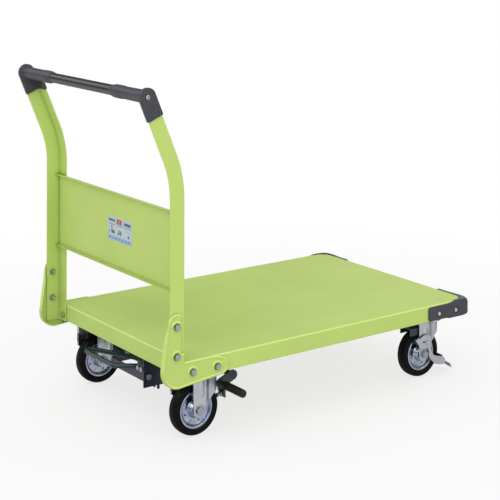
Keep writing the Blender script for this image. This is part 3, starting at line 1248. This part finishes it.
# ------------------------------------------------------------------ every other solid: broken edges
SMALL = {
    "deck": (0.35, 2, 50), "back_panel": (0.35, 2, 50),
    "front_channel": (0.8, 2, 30), "rear_channel": (0.8, 2, 30), "centre_ribs": (0.5, 2, 30),
    "front_left_brake_leaf": (0.5, 2, 35), "front_right_brake_leaf": (0.5, 2, 35),
    "brake_frame": (0.6, 2, 35), "brake_arms": (0.6, 2, 35), "brake_shaft": (0.5, 2, 40), "brake_link": (0.4, 2, 40),
    "loop_pedal": (0.4, 2, 50), "pedal_pivot_bolt": (0.3, 2, 40), "shoe_adjusters": (0.3, 2, 40),
    "handle_screws": (0.15, 2, 40), "bumper_rivets": (0.2, 2, 40), "king_pins": (0.4, 2, 40), "front_top_plates": (0.4, 2, 40),
    "tube_plugs": (0.3, 2, 40), "step_sleeve": (0.5, 2, 40), "handle_tube": (0.3, 2, 40), "swivel_balls": (0, 2, 40), "panel_label": (0.04, 1, 40),
}
for k in NODES:
    if k.endswith("_discs"):
        SMALL[k] = (0.2, 2, 55)
    if k.endswith("_bush"):
        SMALL[k] = (0.4, 2, 40)
for n, (b, s, ang) in SMALL.items():
    ob = refined(n, b, s, ang, sharp=52 if n.endswith("_discs") else 38)
    if n in ("bumper_rivets", "handle_screws"):
        ob.data.materials[0] = MATS["bright_head"]

# ------------------------------------------------------------------ stage, light, camera
def stage():
    me = bpy.data.meshes.new("floor")
    bm = bmesh.new()
    pts = [(-30, -30), (30, -30), (30, 30), (-30, 30)]
    bm.faces.new([bm.verts.new((x, y, -0.0002)) for x, y in pts])
    bm.to_mesh(me); bm.free()
    ob = bpy.data.objects.new("floor", me)
    SC.collection.objects.link(ob)
    m = Tree("floor_pale")
    t = m.t
    m.set(Base_Color=m.mix(m.ramp(m.noise(2.0, 3.0, 0.5), 0.3, 0.7), (0.80, 0.80, 0.80, 1), (0.82, 0.82, 0.82, 1)), Roughness=0.9)
    m.bsdf.inputs["Specular IOR Level"].default_value = 0.1
    # away from the trolley the paper floor washes out to the white of the surround
    sep = m.node("ShaderNodeSeparateXYZ", Vector=m.co)
    r = m.math("SQRT", m.math("ADD", m.math("MULTIPLY", sep.outputs["X"], sep.outputs["X"]), m.math("MULTIPLY", sep.outputs["Y"], sep.outputs["Y"])))
    far = m.ramp(r, 0.75, 1.9)
    lp = t.nodes.new("ShaderNodeLightPath")
    em = m.node("ShaderNodeEmission", Color=(1, 1, 1, 1), Strength=1.0)
    # what bright metal sees in the floor: the same tent bands as in the surround
    geo = t.nodes.new("ShaderNodeNewGeometry")
    gs = m.node("ShaderNodeSeparateXYZ", Vector=geo.outputs["Incoming"])
    phi = m.math("ARCTAN2", m.math("MULTIPLY", gs.outputs["Y"], -1.0), m.math("MULTIPLY", gs.outputs["X"], -1.0))
    band = m.math("SINE", m.math("ADD", m.math("MULTIPLY", phi, 4.0), BAND))
    band = m.math("ADD", m.math("MULTIPLY", m.math("ADD", m.math("MULTIPLY", band, 0.75), 0.5, True), 0.52), 0.10)
    dim = m.node("ShaderNodeEmission", Color=(1, 1, 1, 1), Strength=band)
    # the paper is lit from below as well, so that it stays near white to the eye
    wash = m.node("ShaderNodeEmission", Color=(1, 1, 1, 1), Strength=1.0)
    mx = t.nodes.new("ShaderNodeMixShader")
    t.links.new(far, mx.inputs[0]); t.links.new(m.bsdf.outputs[0], mx.inputs[1]); t.links.new(em.outputs[0], mx.inputs[2])
    mx2 = t.nodes.new("ShaderNodeMixShader")
    t.links.new(m.math("MULTIPLY", lp.outputs["Is Glossy Ray"], 0.8), mx2.inputs[0]); t.links.new(mx.outputs[0], mx2.inputs[1]); t.links.new(dim.outputs[0], mx2.inputs[2])
    mx3 = t.nodes.new("ShaderNodeMixShader")
    t.links.new(m.math("MULTIPLY", lp.outputs["Is Camera Ray"], 0.74), mx3.inputs[0]); t.links.new(mx2.outputs[0], mx3.inputs[1]); t.links.new(wash.outputs[0], mx3.inputs[2])
    t.links.new(mx3.outputs[0], m.out.inputs[0])
    me.materials.append(m.mat)


def studio_world():
    """White surround for the eye, soft even light for matt surfaces, a tent with dark gaps for bright metal."""
    w = bpy.data.worlds.new("studio")
    SC.world = w
    w.use_nodes = True
    t = w.node_tree
    t.nodes.clear()
    out = t.nodes.new("ShaderNodeOutputWorld")
    lp = t.nodes.new("ShaderNodeLightPath")
    co = t.nodes.new("ShaderNodeTexCoord")
    sep = t.nodes.new("ShaderNodeSeparateXYZ")
    t.links.new(co.outputs["Generated"], sep.inputs[0])
    def mth(op, a, b=0.0, clamp=False):
        n = t.nodes.new("ShaderNodeMath"); n.operation = op; n.use_clamp = clamp
        for k, v in enumerate((a, b)):
            if isinstance(v, bpy.types.NodeSocket):
                t.links.new(v, n.inputs[k])
            else:
                n.inputs[k].default_value = v
        return n.outputs[0]
    phi = mth("ARCTAN2", sep.outputs["Y"], sep.outputs["X"])
    wave = mth("SINE", mth("ADD", mth("MULTIPLY", phi, 4.0), BAND))
    box = mth("MULTIPLY", mth("ADD", wave, 0.15), 1.6, True)
    elev = t.nodes.new("ShaderNodeMapRange"); elev.interpolation_type = "SMOOTHSTEP"
    t.links.new(sep.outputs["Z"], elev.inputs["Value"])
    elev.inputs["From Min"].default_value = 0.02; elev.inputs["From Max"].default_value = 0.42
    elev.inputs["To Min"].default_value = 0.10; elev.inputs["To Max"].default_value = 1.0
    g = mth("MULTIPLY", mth("ADD", mth("MULTIPLY", box, 1.0), 0.20), elev.outputs[0])
    def bg(v):
        n = t.nodes.new("ShaderNodeBackground")
        if isinstance(v, bpy.types.NodeSocket):
            t.links.new(v, n.inputs[1])
        else:
            n.inputs[1].default_value = v
        n.inputs[0].default_value = (1, 1, 1, 1)
        return n.outputs[0]
    def mixs(f, a, b):
        n = t.nodes.new("ShaderNodeMixShader")
        t.links.new(f, n.inputs[0]); t.links.new(a, n.inputs[1]); t.links.new(b, n.inputs[2])
        return n.outputs[0]
    t.links.new(mixs(lp.outputs["Is Camera Ray"], mixs(lp.outputs["Is Glossy Ray"], bg(DIFFUSE), bg(g)), bg(1.0)), out.inputs[0])


def area(name, loc, target, size, power, col=(1, 1, 1), size_y=None):
    d = bpy.data.lights.new(name, "AREA")
    d.shape = "RECTANGLE"
    d.size, d.size_y = size, size_y or size
    d.energy = power
    d.color = col
    o = bpy.data.objects.new(name, d)
    o.location = loc
    o.rotation_euler = (Vector(target) - Vector(loc)).to_track_quat("-Z", "Y").to_euler()
    SC.collection.objects.link(o)
    return o


DIFFUSE = 0.90
BAND = -0.175
stage()
studio_world()
area("key", (-2.2, -1.6, 3.2), (0, 0, 0.3), 2.2, 20)
area("fill", (-1.0, -4.0, 1.2), (0, 0, 0.3), 2.4, 18)
area("top", (-0.6, 0.2, 4.0), (-0.2, 0, 0.2), 3.0, 8)
area("back", (3.0, 2.4, 1.8), (0, 0, 0.4), 2.0, 4)


def dark_card(name, loc, target, w_, h_):
    """A dark flag out of view that only mirror-like surfaces see, for contrast in the plated parts."""
    me = bpy.data.meshes.new(name)
    bm = bmesh.new()
    bm.faces.new([bm.verts.new((x * w_ / 2, y * h_ / 2, 0)) for x, y in ((-1, -1), (1, -1), (1, 1), (-1, 1))])
    bm.to_mesh(me); bm.free()
    o = bpy.data.objects.new(name, me)
    o.location = loc
    o.rotation_euler = (Vector(target) - Vector(loc)).to_track_quat("-Z", "Y").to_euler()
    SC.collection.objects.link(o)
    m = Tree(name)
    m.set(Base_Color=m.mix(m.noise(1.0), (0.02, 0.02, 0.025, 1), (0.03, 0.03, 0.035, 1)), Roughness=0.9)
    me.materials.append(m.mat)
    o.visible_camera = False
    o.visible_diffuse = False
    o.visible_shadow = False


dark_card("flag_a", (-4.2, -2.2, 0.7), (-0.3, -0.2, 0.1), 1.2, 1.6)
dark_card("flag_b", (0.8, -4.2, 0.55), (-0.3, -0.2, 0.1), 1.5, 1.0)
dark_card("flag_c", (4.0, -0.6, 0.6), (0.3, -0.2, 0.1), 1.2, 1.2)

def bright_strip(name, loc, target, w_, h_, power):
    """A thin lamp that only mirror-like surfaces see."""
    me = bpy.data.meshes.new(name)
    bm = bmesh.new()
    bm.faces.new([bm.verts.new((x * w_ / 2, y * h_ / 2, 0)) for x, y in ((-1, -1), (1, -1), (1, 1), (-1, 1))])
    bm.to_mesh(me); bm.free()
    o = bpy.data.objects.new(name, me)
    o.location = loc
    o.rotation_euler = (Vector(target) - Vector(loc)).to_track_quat("-Z", "Y").to_euler()
    SC.collection.objects.link(o)
    m = Tree(name)
    e = m.node("ShaderNodeEmission", Color=(1, 1, 1, 1), Strength=power)
    m.t.links.new(e.outputs[0], m.out.inputs[0])
    me.materials.append(m.mat)
    o.visible_camera = False
    o.visible_diffuse = False
    o.visible_shadow = False


bright_strip("strip_a", (-2.6, -0.4, 2.9), (-0.5, 0, 0.7), 6.0, 0.22, 7.0)

SC.view_settings.view_transform = "Standard"
SC.view_settings.look = "None"
SC.render.film_transparent = False

# the photograph's camera: level, far away and shifted down, as a view camera is set up for verticals
f, yaw, roll, cy = 1365.25, 0.9417, 0.0019, -85.33
C = Vector((-2.16969 + OX * MM, -2.91390 + OY * MM, 1.22877))
fw = Vector((math.cos(yaw), math.sin(yaw), 0))
right = fw.cross(Vector((0, 0, 1)))
up = right.cross(fw)
r2 = math.cos(roll) * right + math.sin(roll) * up
u2 = r2.cross(fw)
cd = bpy.data.cameras.new("camera")
cam = bpy.data.objects.new("camera", cd)
SC.collection.objects.link(cam)
M = Matrix((r2, u2, -fw)).transposed().to_4x4()
M.translation = C
cam.matrix_world = M
cd.sensor_width = 36.0
cd.lens = f / 500 * 36.0
cd.clip_end = 100
SC.camera = cam
SHIFT = -(250.0 - cy) / 500
# the shift belongs to this one place of the camera; from anywhere else it is zero, so that other views stay centred
fc = cd.driver_add("shift_y")
d = fc.driver
d.type = "AVERAGE"
v = d.variables.new()
v.name = "x"
v.type = "TRANSFORMS"
v.targets[0].id = cam
v.targets[0].transform_type = "LOC_X"
v.targets[0].transform_space = "WORLD_SPACE"
for m_ in list(fc.modifiers):
    fc.modifiers.remove(m_)
for x_, s_ in ((-100.0, 0.0), (C.x - 0.012, SHIFT), (C.x + 0.012, 0.0), (100.0, 0.0)):
    fc.keyframe_points.insert(x_, s_)
for k in fc.keyframe_points:
    k.interpolation = "CONSTANT"
fc.extrapolation = "CONSTANT"
bpy.context.view_layer.update()
